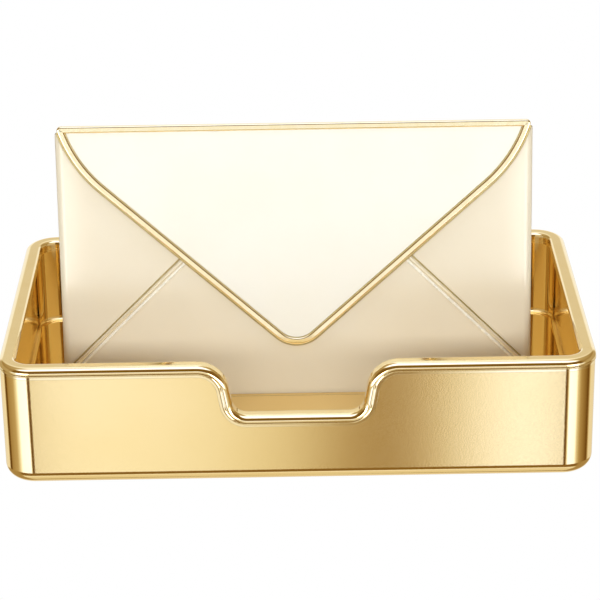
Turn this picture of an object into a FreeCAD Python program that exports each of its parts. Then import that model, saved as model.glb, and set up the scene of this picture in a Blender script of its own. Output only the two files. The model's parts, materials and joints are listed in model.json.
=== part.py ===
import FreeCAD, Part
import Sketcher
import math
import os
import re

# Scooped desk tray with a lift-out envelope whose pointed flap swings on a hinge.
# Millimetres, +Z up, +X to the right of someone who faces the scoop (the front looks along -Y).
# The origin is the middle of the footprint, on the surface that the tray stands on.

os.makedirs("parts", exist_ok=True)
doc = FreeCAD.newDocument("EnvelopeTray")

# ---------------------------------------------------------------- driving sizes

SIZES = {
    # tray casting
    "tray_width": 290.0,
    "tray_depth": 172.0,
    "tray_height": 63.0,
    "plan_radius": 16.0,
    "wall": 4.2,
    "base_round": 7.0,
    "floor_level": 15.2,
    "floor_thickness": 2.8,
    "floor_bevel": 2.0,
    "underside_margin": 11.0,
    # moulding on top of the wall
    "rim_width": 8.3,
    "rim_height": 6.0,
    "rim_proud": 0.4,
    "rim_outer_bevel": 1.8,
    "rim_step_height": 1.5,
    "rim_step_inset": 0.35,
    "rim_inner_bevel": 1.0,
    # scoop in the front wall, measured on the middle line of the moulding
    "scoop_half": 35.85,
    "scoop_depth": 27.0,
    "scoop_slope": 80.0,
    "scoop_upper_bend": 12.6,
    "scoop_lower_bend": 10.5,
    "scoop_lead": 1.5,
    # cover under the casting, its screws and the feet
    "cover_thickness": 1.5,
    "cover_recess": 1.2,
    "cover_clearance": 0.25,
    "cover_ledge": 4.0,
    "boss_diameter": 8.0,
    "boss_inset": 10.0,
    "screw_diameter": 3.0,
    "screw_head": 5.6,
    "screw_head_depth": 1.1,
    "screw_reach": 6.0,
    "cradle_screw_reach": 3.2,
    "screw_tip_room": 0.3,
    "screw_clearance": 0.2,
    "thread_clearance": 0.03,
    "drive_width": 2.0,
    "drive_depth": 0.8,
    "foot_size": 13.0,
    "foot_corner": 2.0,
    "foot_stand": 1.0,
    "foot_inset_x": 14.0,
    "foot_inset_y": 26.0,
    # cradle that the envelope stands in
    "lean": 8.0,
    "cradle_middle": -11.9,
    "cradle_margin": 2.5,
    "cradle_end_margin": 4.0,
    "cradle_grip": 8.0,
    "cradle_screw_inset": 24.0,
    "cradle_clearance": 0.15,
    "groove_clearance": 0.4,
    "seat_clearance": 0.1,
    # envelope body
    "envelope_width": 239.0,
    "pocket_depth": 6.0,
    "pocket_front": 2.0,
    "back_sheet": 1.8,
    "back_top": 141.2,
    "back_corner_round": 2.0,
    "side_sheet": 1.6,
    "side_round": 4.0,
    "side_top": 143.2,
    "throat_reach": 78.0,
    "throat_level": 104.0,
    "throat_drop": 20.0,
    "throat_inset": 8.0,
    "throat_run": 8.0,
    "throat_round": 10.0,
    "hem_inset": 10.0,
    "bottom_sheet": 1.2,
    "bottom_inset": 3.0,
    "bottom_corner_round": 1.0,
    "fold_round": 0.9,
    "fold_lap": 2.0,
    "leaf_corner_round": 6.0,
    "seam_start_level": 19.3,
    "seam_angle": 44.3,
    "seam_tip_round": 20.0,
    "bead_width": 2.0,
    "bead_proud": 0.4,
    "bead_round": 0.9,
    "bead_foot_level": 23.0,
    "bead_top_level": 90.0,
    # flap
    "flap_gap": 0.7,
    "flap_rest_gap": 0.3,
    "strip_gap": 0.5,
    "flap_sheet": 1.4,
    "flap_half": 118.6,
    "flap_top": 148.5,
    "flap_shoulder": 133.9,
    "flap_tip": 28.9,
    "flap_tip_round": 15.2,
    "flap_side_slant": 20.0,
    "flap_shoulder_round": 70.0,
    "flap_corner_round": 2.0,
    "piping_width": 3.4,
    "piping_depth": 2.6,
    "piping_bevel": 1.0,
    # hinge
    "hinge_radius": 1.7,
    "hinge_level": 143.2,
    "hinge_length": 226.0,
    "hinge_segments": 5.0,
    "hinge_gap": 0.3,
    "pin_diameter": 1.6,
    "pin_grip_clearance": 0.02,
    "pin_running_clearance": 0.05,
    # magnet and keeper of the flap
    "catch_level": 52.0,
    "catch_size": 8.0,
    "catch_thickness": 0.8,
    "catch_clearance": 0.02,
    # how far fused forms reach into each other, and how far a cut passes the face it starts from
    "lap": 0.5,
    "beyond": 1.0,
}

# Sizes that follow from the driving ones, written in the same plain words.
DERIVED = {
    "shell_half_x": "tray_width / 2 - rim_proud",
    "shell_half_y": "tray_depth / 2 - rim_proud",
    "shell_radius": "plan_radius - rim_proud",
    "wall_top": "tray_height - rim_height",
    "rim_line_y": "tray_depth / 2 - rim_width / 2",
    "rim_line_x": "tray_width / 2 - rim_width / 2",
    "rim_line_z": "tray_height - rim_height / 2",
    "scoop_run": "scoop_depth / tan(scoop_slope)",
    "scoop_top_x": "scoop_half + scoop_run / 2",
    "scoop_bottom_x": "scoop_half - scoop_run / 2",
    "scoop_start": "scoop_top_x + scoop_upper_bend * tan(scoop_slope / 2) + scoop_lead",
    "scoop_cut": "rim_height / 2",
    "scoop_shift": "rim_height / 2 * tan(scoop_slope / 2)",
    "cover_half_x": "shell_half_x - underside_margin",
    "cover_half_y": "shell_half_y - underside_margin",
    "cover_top": "cover_thickness + cover_recess",
    "hollow_half_x": "cover_half_x - cover_ledge",
    "hollow_half_y": "cover_half_y - cover_ledge",
    "hollow_top": "floor_level - floor_thickness",
    "boss_x": "hollow_half_x - boss_inset",
    "boss_y": "hollow_half_y - boss_inset",
    "foot_x": "cover_half_x - foot_inset_x",
    "foot_y": "cover_half_y - foot_inset_y",
    "cradle_screw_x": "envelope_width / 2 - cradle_screw_inset",
    "groove_front": "bottom_face + groove_clearance",
    "groove_back": "back_face + groove_clearance",
    "cradle_half_x": "envelope_width / 2 + groove_clearance + cradle_end_margin",
    "cradle_front": "groove_front / cos(lean) + cradle_margin",
    "cradle_back": "groove_back / cos(lean) + cradle_margin",
    "seat_y": "cradle_middle - cradle_grip * sin(lean)",
    "seat_z": "foot_stand + floor_level - cradle_grip * cos(lean)",
    "inner_back": "pocket_depth - pocket_front",
    "back_face": "inner_back + back_sheet",
    "leaf_face": "pocket_front + side_sheet",
    "bottom_face": "leaf_face + bottom_sheet",
    "flap_inner": "bottom_face + flap_gap",
    "flap_face": "flap_inner + flap_sheet",
    "piping_face": "flap_inner + piping_depth",
    "seam_half": "envelope_width / 2 - bottom_inset",
    "seam_peak": "seam_start_level + seam_half * tan(seam_angle)",
    "flap_slope": "(flap_shoulder - flap_tip) / flap_half",
    "strip_half": "flap_half - piping_width * tan(45 + flap_side_slant / 2)"
                  " - (flap_top - piping_width - strip_bottom) * tan(flap_side_slant)",
    "hinge_line": "inner_back + back_sheet / 2",
    "hinge_pitch": "hinge_length / hinge_segments",
    "strip_back": "hinge_line - hinge_radius - strip_gap",
    "strip_bottom": "side_top + flap_rest_gap",
    "hinge_start": "-hinge_length / 2 + hinge_gap / 2",
}

sheet = doc.addObject("Spreadsheet::Sheet", "Sizes")
for row, (word, size) in enumerate(SIZES.items(), start=1):
    sheet.set("A%d" % row, word)
    sheet.set("B%d" % row, str(size))
    sheet.setAlias("B%d" % row, word)
doc.recompute()


def bound(expression):
    """Turns an expression in plain words into one that reads the sheet's cells."""
    def cell(match):
        word = match.group(0)
        if word in DERIVED:
            return "(" + bound(DERIVED[word]) + ")"
        return "Sizes." + word if word in SIZES else word
    return re.sub(r"[a-z]\w*", cell, expression)


def number(expression):
    """The value that an expression has at the sizes in the sheet."""
    return float(sheet.evalExpression(bound(expression)))


# ---------------------------------------------------------------- ways of making a sub-part

def new_body(label):
    """An empty body, whose label names its node and its file."""
    body = doc.addObject("PartDesign::Body", label)
    body.Label = label
    return body


def stand_on_feet(piece):
    """Lifts a piece of the tray by the stand of the feet."""
    piece.setExpression("Placement.Base.z", bound("foot_stand"))


def lean_back(piece):
    """Puts a piece that is drawn upright about the envelope's foot into the leaning cradle."""
    piece.Placement = FreeCAD.Placement(FreeCAD.Vector(), FreeCAD.Rotation(FreeCAD.Vector(-1, 0, 0), 1))
    piece.setExpression("Placement.Base.y", bound("seat_y"))
    piece.setExpression("Placement.Base.z", bound("seat_z"))
    piece.setExpression("Placement.Rotation.Angle", bound("lean") + " * 1 deg")


def sketch_on(body, name, role, offset="0"):
    """A sketch on one of the body's own origin planes, moved along the plane's normal."""
    plane = next(part for part in body.Origin.OriginFeatures if part.Role == role)
    sketch = body.newObject("Sketcher::SketchObject", name)
    sketch.AttachmentSupport = [(plane, "")]
    sketch.MapMode = "FlatFace"
    sketch.setExpression("AttachmentOffset.Base.z", bound(offset))
    return sketch


def fix_point(sketch, geometry, end, across, along):
    """Holds a point of the sketch at two bound distances from the sketch's origin."""
    for kind, expression in (("DistanceX", across), ("DistanceY", along)):
        index = sketch.addConstraint(
            Sketcher.Constraint(kind, -1, 1, geometry, end, number(expression)))
        sketch.renameConstraint(index, "%s_%d_%d" % (kind, geometry, end))
        sketch.setExpression("Constraints.%s_%d_%d" % (kind, geometry, end), bound(expression))


def outline(body, name, role, corners, offset="0", closed=True):
    """A chain of straight lines through the corners, each (across, along) or (across, along, radius).

    A corner with a radius is rounded by an arc that is tangent to both of its lines.
    """
    sketch = sketch_on(body, name, role, offset)
    count = len(corners)
    points = [FreeCAD.Vector(number(corner[0]), number(corner[1]), 0) for corner in corners]
    radii = [number(corner[2]) if len(corner) > 2 else 0.0 for corner in corners]

    def rounding(i):
        """Tangent points, centre and turning sense of the arc at corner i."""
        before = (points[i - 1] - points[i]).normalize()
        after = (points[(i + 1) % count] - points[i]).normalize()
        half_angle = before.getAngle(after) / 2
        reach = radii[i] / math.tan(half_angle)
        centre = points[i] + (before + after).normalize() * (radii[i] / math.sin(half_angle))
        left_turn = (-before).cross(after).z > 0
        return points[i] + before * reach, points[i] + after * reach, centre, left_turn

    starts = list(points)
    ends = list(points)
    for i in range(count):
        if radii[i]:
            ends[i], starts[i], _, _ = rounding(i)
    line_count = count if closed else count - 1
    for i in range(line_count):
        sketch.addGeometry(Part.LineSegment(starts[i], ends[(i + 1) % count]), False)

    for i in range(count):
        before = (i - 1) % count
        has_both = closed or 0 < i < count - 1
        if radii[i]:
            arrive, leave, centre, left_turn = rounding(i)
            first, second = (arrive, leave) if left_turn else (leave, arrive)
            angles = [math.atan2(p.y - centre.y, p.x - centre.x) for p in (first, second)]
            circle = Part.Circle(centre, FreeCAD.Vector(0, 0, 1), radii[i])
            arc = sketch.addGeometry(Part.ArcOfCircle(circle, angles[0], angles[1]), False)
            vertex = sketch.addGeometry(Part.Point(points[i]), True)
            arrive_end, leave_end = (1, 2) if left_turn else (2, 1)
            sketch.addConstraint(Sketcher.Constraint("Tangent", before, 2, arc, arrive_end))
            sketch.addConstraint(Sketcher.Constraint("Tangent", arc, leave_end, i, 1))
            sketch.addConstraint(Sketcher.Constraint("PointOnObject", vertex, 1, before))
            sketch.addConstraint(Sketcher.Constraint("PointOnObject", vertex, 1, i))
            index = sketch.addConstraint(Sketcher.Constraint("Radius", arc, radii[i]))
            sketch.renameConstraint(index, "radius_%d" % i)
            sketch.setExpression("Constraints.radius_%d" % i, bound(corners[i][2]))
            fix_point(sketch, vertex, 1, corners[i][0], corners[i][1])
        elif has_both:
            sketch.addConstraint(Sketcher.Constraint("Coincident", before, 2, i, 1))
            fix_point(sketch, i, 1, corners[i][0], corners[i][1])
        elif i == 0:
            fix_point(sketch, 0, 1, corners[i][0], corners[i][1])
        else:
            fix_point(sketch, before, 2, corners[i][0], corners[i][1])
    return sketch


def rectangle(body, name, role, low, high, offset="0", radius=None):
    """An upright rectangle between two corners, with one radius at all four of its corners."""
    rounded = (radius,) if radius else ()
    corners = [(low[0], low[1]) + rounded, (high[0], low[1]) + rounded,
               (high[0], high[1]) + rounded, (low[0], high[1]) + rounded]
    return outline(body, name, role, corners, offset)


def circles(body, name, role, centres, diameter, offset="0"):
    """Equal circles about bound centres."""
    sketch = sketch_on(body, name, role, offset)
    for across, along in centres:
        centre = FreeCAD.Vector(number(across), number(along), 0)
        circle = Part.Circle(centre, FreeCAD.Vector(0, 0, 1), number(diameter) / 2)
        index = sketch.addGeometry(circle, False)
        held = sketch.addConstraint(Sketcher.Constraint("Diameter", index, number(diameter)))
        sketch.renameConstraint(held, "diameter_%d" % index)
        sketch.setExpression("Constraints.diameter_%d" % index, bound(diameter))
        fix_point(sketch, index, 3, across, along)
    return sketch


def grow(body, name, kind, sketch, length, backwards=False):
    """A pad or a pocket of a sketch, of a bound length along or against the sketch's normal."""
    feature = body.newObject("PartDesign::" + kind, name)
    feature.Profile = sketch
    feature.setExpression("Length", bound(length))
    feature.Reversed = backwards
    doc.recompute()
    return feature


def soften(body, name, kind, base, size, chosen):
    """A fillet or a chamfer on the edges of the base that a test picks out."""
    edges = ["Edge%d" % (i + 1) for i, edge in enumerate(base.Shape.Edges) if chosen(edge)]
    feature = body.newObject("PartDesign::" + kind, name)
    feature.Base = (base, edges)
    feature.setExpression("Radius" if kind == "Fillet" else "Size", bound(size))
    doc.recompute()
    return feature


def repeat(body, name, originals, pitch, copies):
    """Copies of features at a bound pitch along X."""
    axis = next(part for part in body.Origin.OriginFeatures if part.Role == "X_Axis")
    pattern = body.newObject("PartDesign::LinearPattern", name)
    pattern.Originals = originals
    pattern.Direction = (axis, [""])
    pattern.setExpression("Length", bound("(%s) * (%s - 1)" % (pitch, copies)))
    pattern.setExpression("Occurrences", bound(copies))
    body.Tip = pattern
    doc.recompute()
    return pattern


SAME = 0.01      # places nearer to each other than this are one place


def at_level(edge, level):
    """True for an edge that lies wholly at one height."""
    box = edge.BoundBox
    return abs(box.ZMin - level) < SAME and abs(box.ZMax - level) < SAME


# ---------------------------------------------------------------- tray

def scoop_line(drop, shift, upper_bend, lower_bend, end, end_level):
    """Corners of the scoop from left to right, moved off the moulding's middle line.

    The middle line runs level, bends down at the top of the scoop, and bends back into its level
    bottom. drop moves the line down, shift moves the sloping runs outwards.
    """
    top = "rim_line_z - (%s)" % drop
    bottom = "rim_line_z - scoop_depth - (%s)" % drop
    upper_x = "scoop_top_x + (%s)" % shift
    lower_x = "scoop_bottom_x + (%s)" % shift
    left = [("-(%s)" % end, end_level), ("-(%s)" % upper_x, top, upper_bend),
            ("-(%s)" % lower_x, bottom, lower_bend)]
    right = [(lower_x, bottom, lower_bend), (upper_x, top, upper_bend), (end, end_level)]
    return left + right


def make_tray_shell():
    """The casting: rounded pan with a raised floor, a scooped front and a hollow underside."""
    body = new_body("tray_shell")
    plan = rectangle(body, "PlanSketch", "XY_Plane", ("-shell_half_x", "-shell_half_y"),
                     ("shell_half_x", "shell_half_y"), radius="shell_radius")
    block = grow(body, "Block", "Pad", plan, "wall_top")
    rounded = soften(body, "RoundedFoot", "Fillet", block, "base_round", lambda edge: at_level(edge, 0))

    pan = rectangle(body, "PanSketch", "XY_Plane", ("-(shell_half_x - wall)", "-(shell_half_y - wall)"),
                    ("shell_half_x - wall", "shell_half_y - wall"), "floor_level",
                    "shell_radius - wall")
    hollow = grow(body, "Pan", "Pocket", pan, "tray_height", True)
    floor = number("floor_level")
    soften(body, "FloorBevel", "Chamfer", hollow, "floor_bevel", lambda edge: at_level(edge, floor))

    cover = rectangle(body, "CoverRebateSketch", "XY_Plane",
                      ("-(cover_half_x + cover_clearance)", "-(cover_half_y + cover_clearance)"),
                      ("cover_half_x + cover_clearance", "cover_half_y + cover_clearance"),
                      radius="shell_radius / 2 + cover_clearance")
    grow(body, "CoverRebate", "Pocket", cover, "cover_top", True)
    under = rectangle(body, "UndersideSketch", "XY_Plane", ("-hollow_half_x", "-hollow_half_y"),
                      ("hollow_half_x", "hollow_half_y"), radius="cover_ledge")
    grow(body, "Underside", "Pocket", under, "hollow_top", True)

    spots = boss_spots()
    boss = circles(body, "BossSketch", "XY_Plane", spots, "boss_diameter", "cover_top")
    grow(body, "Bosses", "Pad", boss, "hollow_top - cover_top + lap")
    thread = circles(body, "ThreadSketch", "XY_Plane", spots, "screw_diameter + 2 * thread_clearance",
                     "cover_top")
    grow(body, "Threads", "Pocket", thread, "screw_reach + screw_tip_room", True)

    opening = rectangle(body, "CradleOpeningSketch", "XY_Plane",
                        ("-(cradle_half_x + cradle_clearance)",
                         "cradle_middle - cradle_front - cradle_clearance"),
                        ("cradle_half_x + cradle_clearance",
                         "cradle_middle + cradle_back + cradle_clearance"))
    grow(body, "CradleOpening", "Pocket", opening, "floor_level + beyond", True)

    line = scoop_line("scoop_cut", "scoop_shift", "scoop_upper_bend - rim_height / 2",
                      "scoop_lower_bend + rim_height / 2", "scoop_start", "wall_top")
    line += [("scoop_start", "tray_height"), ("-scoop_start", "tray_height")]
    scoop = outline(body, "ScoopSketch", "XZ_Plane", line, "shell_half_y - wall - beyond")
    grow(body, "Scoop", "Pocket", scoop, "wall + 2 * beyond", True)
    stand_on_feet(body)
    return body


def make_rim_moulding():
    """The moulding: one section carried round the wall's top and once more through the scoop."""
    body = new_body("rim_moulding")
    half = "rim_width / 2"
    step = "rim_width / 2 - rim_step_inset"
    shelf = "wall_top + rim_step_height"
    section = [("-rim_line_y - (%s)" % step, "wall_top"), ("-rim_line_y + (%s)" % step, "wall_top"),
               ("-rim_line_y + (%s)" % step, shelf), ("-rim_line_y + (%s)" % half, shelf),
               ("-rim_line_y + (%s)" % half, "tray_height - rim_inner_bevel"),
               ("-rim_line_y + (%s) - rim_inner_bevel" % half, "tray_height"),
               ("-rim_line_y - (%s) + rim_outer_bevel" % half, "tray_height"),
               ("-rim_line_y - (%s)" % half, "tray_height - rim_outer_bevel"),
               ("-rim_line_y - (%s)" % half, shelf), ("-rim_line_y - (%s)" % step, shelf)]
    bend = "plan_radius - rim_width / 2"
    ring = [("-scoop_start", "-rim_line_y"), ("-rim_line_x", "-rim_line_y", bend),
            ("-rim_line_x", "rim_line_y", bend), ("rim_line_x", "rim_line_y", bend),
            ("rim_line_x", "-rim_line_y", bend), ("scoop_start", "-rim_line_y")]
    dip = scoop_line("0", "0", "scoop_upper_bend", "scoop_lower_bend", "scoop_start", "rim_line_z")
    runs = (("Round", "XY_Plane", ring, "rim_line_z"), ("Dip", "XZ_Plane", dip, "rim_line_y"))
    for name, role, corners, offset in runs:
        profile = outline(body, name + "Section", "YZ_Plane", section, "-scoop_start")
        path = outline(body, name + "Path", role, corners, offset, closed=False)
        doc.recompute()
        pipe = body.newObject("PartDesign::AdditivePipe", name + "Run")
        pipe.Profile = profile
        pipe.Spine = (path, [])
        pipe.Mode = "Standard"
        pipe.Transition = "Round corner"
        doc.recompute()
    stand_on_feet(body)
    return body


def boss_spots():
    """Where the cover's screws go, one in each corner."""
    return [(across, along) for across in ("-boss_x", "boss_x") for along in ("-boss_y", "boss_y")]


def cradle_screw_spots():
    """Where the cradle's screws go, one near each of its ends."""
    middle = "cradle_middle + (cradle_back - cradle_front) / 2"
    return [("-cradle_screw_x", middle), ("cradle_screw_x", middle)]


def make_base_plate():
    """The cover: a sheet let into the casting's underside, drilled for all the screws."""
    body = new_body("base_plate")
    plan = rectangle(body, "PlanSketch", "XY_Plane", ("-cover_half_x", "-cover_half_y"),
                     ("cover_half_x", "cover_half_y"), "cover_recess", "shell_radius / 2")
    grow(body, "Plate", "Pad", plan, "cover_thickness")
    holes = circles(body, "HoleSketch", "XY_Plane", boss_spots() + cradle_screw_spots(),
                    "screw_diameter + screw_clearance")
    grow(body, "Holes", "Pocket", holes, "cover_top + beyond", True)
    stand_on_feet(body)
    return body


def screw(name, spot, reach):
    """One screw with a flat round head and a hexagon socket, head down, at a spot of the cover."""
    head = doc.addObject("Part::Cylinder", name + "Head")
    head.setExpression("Radius", bound("screw_head / 2"))
    head.setExpression("Height", bound("screw_head_depth"))
    shank = doc.addObject("Part::Cylinder", name + "Shank")
    shank.setExpression("Radius", bound("screw_diameter / 2"))
    shank.setExpression("Height", bound("screw_head_depth + cover_thickness + %s" % reach))
    drive = doc.addObject("Part::Prism", name + "Socket")
    drive.Polygon = 6
    drive.setExpression("Circumradius", bound("drive_width / 2"))
    drive.setExpression("Height", bound("drive_depth"))
    solid = doc.addObject("Part::Fuse", name + "Blank")
    solid.Base = head
    solid.Tool = shank
    cut = doc.addObject("Part::Cut", name)
    cut.Base = solid
    cut.Tool = drive
    cut.setExpression("Placement.Base.x", bound(spot[0]))
    cut.setExpression("Placement.Base.y", bound(spot[1]))
    cut.setExpression("Placement.Base.z", bound("foot_stand + cover_recess - screw_head_depth"))
    return cut


def make_screws(label, spots, reach):
    """A group of like screws, kept as separate solids in one node."""
    group = doc.addObject("Part::Compound", label)
    group.Label = label
    group.Links = [screw("%sScrew%d" % (label, i), spot, reach) for i, spot in enumerate(spots)]
    return group


def make_foot(label, side, end):
    """A square rubber pad with rounded corners, under one corner of the cover."""
    body = new_body(label)
    pad = rectangle(body, "Section", "XY_Plane", ("-foot_size / 2", "-foot_size / 2"),
                    ("foot_size / 2", "foot_size / 2"), radius="foot_corner")
    grow(body, "Rubber", "Pad", pad, "foot_stand + cover_recess")
    body.setExpression("Placement.Base.x", bound("%s * foot_x" % side))
    body.setExpression("Placement.Base.y", bound("%s * foot_y" % end))
    return body


def make_cradle():
    """The cradle: a bar flush with the floor, with a leaning groove for the envelope's foot."""
    bar = doc.addObject("Part::Box", "CradleBar")
    bar.setExpression("Length", bound("2 * cradle_half_x"))
    bar.setExpression("Width", bound("cradle_front + cradle_back"))
    bar.setExpression("Height", bound("floor_level - cover_top"))
    bar.setExpression("Placement.Base.x", bound("-cradle_half_x"))
    bar.setExpression("Placement.Base.y", bound("cradle_middle - cradle_front"))
    bar.setExpression("Placement.Base.z", bound("foot_stand + cover_top"))

    groove = doc.addObject("Part::Box", "CradleGroove")
    groove.setExpression("Length", bound("envelope_width + 2 * groove_clearance"))
    groove.setExpression("Width", bound("groove_front + groove_back"))
    groove.setExpression("Height", bound("2 * cradle_grip"))
    lean_back(groove)
    groove.setExpression("Placement.Base.x", bound("-envelope_width / 2 - groove_clearance"))
    groove.setExpression("Placement.Base.y",
                         bound("seat_y - groove_front * cos(lean) - seat_clearance * sin(lean)"))
    groove.setExpression("Placement.Base.z",
                         bound("seat_z + groove_front * sin(lean) - seat_clearance * cos(lean)"))

    threads = []
    for i, spot in enumerate(cradle_screw_spots()):
        thread = doc.addObject("Part::Cylinder", "CradleThread%d" % i)
        thread.setExpression("Radius", bound("screw_diameter / 2 + thread_clearance"))
        thread.setExpression("Height", bound("cradle_screw_reach + screw_tip_room"))
        thread.setExpression("Placement.Base.x", bound(spot[0]))
        thread.setExpression("Placement.Base.y", bound(spot[1]))
        thread.setExpression("Placement.Base.z", bound("foot_stand + cover_top"))
        threads.append(thread)
    removed = doc.addObject("Part::MultiFuse", "CradleRemoved")
    removed.Shapes = [groove] + threads
    cradle = doc.addObject("Part::Cut", "envelope_cradle")
    cradle.Label = "envelope_cradle"
    cradle.Base = bar
    cradle.Tool = removed
    return cradle


# ---------------------------------------------------------------- envelope

def make_envelope_back():
    """The back panel, with every other knuckle of the hinge along its top edge."""
    body = new_body("envelope_back")
    panel = rectangle(body, "PanelSketch", "XZ_Plane", ("-envelope_width / 2", "0"),
                      ("envelope_width / 2", "back_top"), "-inner_back", "back_corner_round")
    grow(body, "Panel", "Pad", panel, "back_sheet", True)
    web = rectangle(body, "WebSketch", "YZ_Plane",
                    ("hinge_line - back_sheet / 2", "back_top - lap"),
                    ("hinge_line + back_sheet / 2", "hinge_level"), "hinge_start")
    webs = grow(body, "Web", "Pad", web, "hinge_pitch - hinge_gap")
    roll = circles(body, "KnuckleSketch", "YZ_Plane", [("hinge_line", "hinge_level")],
                   "2 * hinge_radius", "hinge_start")
    rolls = grow(body, "Knuckle", "Pad", roll, "hinge_pitch - hinge_gap")
    repeat(body, "Knuckles", [webs, rolls], "2 * hinge_pitch", "(hinge_segments + 1) / 2")
    bore = circles(body, "BoreSketch", "YZ_Plane", [("hinge_line", "hinge_level")],
                   "pin_diameter + 2 * pin_grip_clearance", "-hinge_length / 2")
    grow(body, "Bore", "Pocket", bore, "hinge_length", True)
    lean_back(body)
    return body


def make_side_flap(label, side):
    """A side wall folded round into its front leaf, which is cut to a slanting throat."""
    body = new_body(label)
    edge = "%s * envelope_width / 2" % side
    within = "%s * (envelope_width / 2 - side_sheet)" % side
    reach = "%s * (envelope_width / 2 - throat_reach)" % side
    section = outline(body, "Section", "XY_Plane",
                      [(edge, "inner_back"), (edge, "-leaf_face", "side_round"),
                       (reach, "-leaf_face"), (reach, "-leaf_face + side_sheet"),
                       (within, "-leaf_face + side_sheet", "side_round - side_sheet"),
                       (within, "inner_back")], "bottom_sheet")
    grow(body, "Folded", "Pad", section, "side_top - bottom_sheet")
    past_reach = "%s * (envelope_width / 2 - throat_reach - beyond)" % side
    throat = outline(body, "ThroatSketch", "XZ_Plane",
                     [("%s * (envelope_width / 2 - throat_inset)" % side, "side_top + beyond"),
                      ("%s * (envelope_width / 2 - throat_inset - throat_run)" % side,
                       "side_top - throat_drop", "throat_round"),
                      (past_reach, "throat_level"), (past_reach, "side_top + beyond")],
                     "leaf_face + beyond")
    grow(body, "Throat", "Pocket", throat, "side_sheet + 2 * beyond")
    hem_rise = "(throat_reach + beyond - hem_inset) * tan(seam_angle)"
    hem = outline(body, "HemSketch", "XZ_Plane",
                  [("%s * (envelope_width / 2 - hem_inset)" % side, "0"),
                   (past_reach, hem_rise), (past_reach, "0")], "leaf_face + beyond")
    grow(body, "Hem", "Pocket", hem, "side_sheet + 2 * beyond")
    lean_back(body)
    return body


def make_bottom_flap():
    """The bottom wall folded up into the pointed front leaf, with a recess for the keeper."""
    body = new_body("bottom_flap")
    leaf = outline(body, "LeafSketch", "XZ_Plane",
                   [("-seam_half", "0"), ("seam_half", "0"),
                    ("seam_half", "seam_start_level", "leaf_corner_round"),
                    ("0", "seam_peak", "seam_tip_round"),
                    ("-seam_half", "seam_start_level", "leaf_corner_round")], "leaf_face")
    grow(body, "Leaf", "Pad", leaf, "bottom_sheet")
    wall = rectangle(body, "WallSketch", "XY_Plane", ("-envelope_width / 2", "-leaf_face"),
                     ("envelope_width / 2", "inner_back"), radius="bottom_corner_round")
    grow(body, "Wall", "Pad", wall, "bottom_sheet")
    fold = rectangle(body, "FoldSketch", "YZ_Plane", ("-bottom_face", "0"),
                     ("-leaf_face + fold_lap", "bottom_sheet"), "-seam_half")
    folded = grow(body, "Fold", "Pad", fold, "2 * seam_half")
    front = -number("bottom_face")
    soften(body, "FoldRound", "Fillet", folded, "fold_round",
           lambda edge: at_level(edge, 0) and edge.BoundBox.YMax < front + SAME)
    recess = catch_square(body, "bottom_face + beyond", "catch_clearance")
    grow(body, "KeeperRecess", "Pocket", recess, "catch_thickness + beyond")
    lean_back(body)
    return body


def make_seam_bead(label, side):
    """The raised bead along one slanting edge of the bottom flap's leaf."""
    body = new_body(label)

    def at(level, out):
        """A corner of the bead at a level, on the leaf's edge or out by the bead's width."""
        inwards = "(%s - seam_start_level) / tan(seam_angle)" % level
        outwards = "(%s) / sin(seam_angle)" % out
        return "%s * (seam_half - %s + %s)" % (side, inwards, outwards), level
    strip = outline(body, "StripSketch", "XZ_Plane",
                    [at("bead_foot_level", "0"), at("bead_top_level", "0"),
                     at("bead_top_level", "bead_width"), at("bead_foot_level", "bead_width")], "leaf_face")
    bar = grow(body, "Bar", "Pad", strip, "bottom_sheet + bead_proud")
    front = -number("bottom_face + bead_proud")
    width = number("bead_width")
    soften(body, "Crown", "Fillet", bar, "bead_round",
           lambda edge: edge.BoundBox.YMax < front + SAME and edge.BoundBox.ZLength > width)
    lean_back(body)
    return body


def make_hinge_pin():
    """The hinge's pin, as long as the row of knuckles."""
    body = new_body("hinge_pin")
    section = circles(body, "Section", "YZ_Plane", [("hinge_line", "hinge_level")], "pin_diameter",
                      "hinge_start")
    grow(body, "Pin", "Pad", section, "hinge_length - hinge_gap")
    lean_back(body)
    return body


def catch_square(body, offset, room="0"):
    """The outline of the catch's keeper or magnet, or of its recess with some room all round."""
    reach = "(catch_size / 2 + %s)" % room
    return rectangle(body, "CatchSketch", "XZ_Plane", ("-" + reach, "catch_level - " + reach),
                     (reach, "catch_level + " + reach), offset)


def make_catch(label, face):
    """A flat square let into a face: the keeper of the catch, or its magnet."""
    body = new_body(label)
    grow(body, "Square", "Pad", catch_square(body, face), "catch_thickness")
    lean_back(body)
    return body


# ---------------------------------------------------------------- flap

def flap_outline(inset):
    """The flap's outline, moved inwards: slanting sides, wide rounded shoulders and a rounded tip."""
    half = "flap_half - %s * tan(45 + flap_side_slant / 2)" % inset
    top = "flap_top - %s" % inset
    tip = "flap_tip + %s * sqrt(1 + flap_slope ^ 2)" % inset
    shoulder = ("(%s + flap_slope * (%s - (%s) * tan(flap_side_slant)))"
                " / (1 - flap_slope * tan(flap_side_slant))" % (tip, half, top))
    bend_x = "%s - (%s - %s) * tan(flap_side_slant)" % (half, top, shoulder)
    bend = "flap_shoulder_round - %s" % inset
    corner = ("flap_corner_round",) if inset == "0" else ()
    return [("-(%s)" % half, top) + corner, ("-(%s)" % bend_x, shoulder, bend),
            ("0", tip, "flap_tip_round - %s" % inset),
            (bend_x, shoulder, bend), (half, top) + corner]


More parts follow.
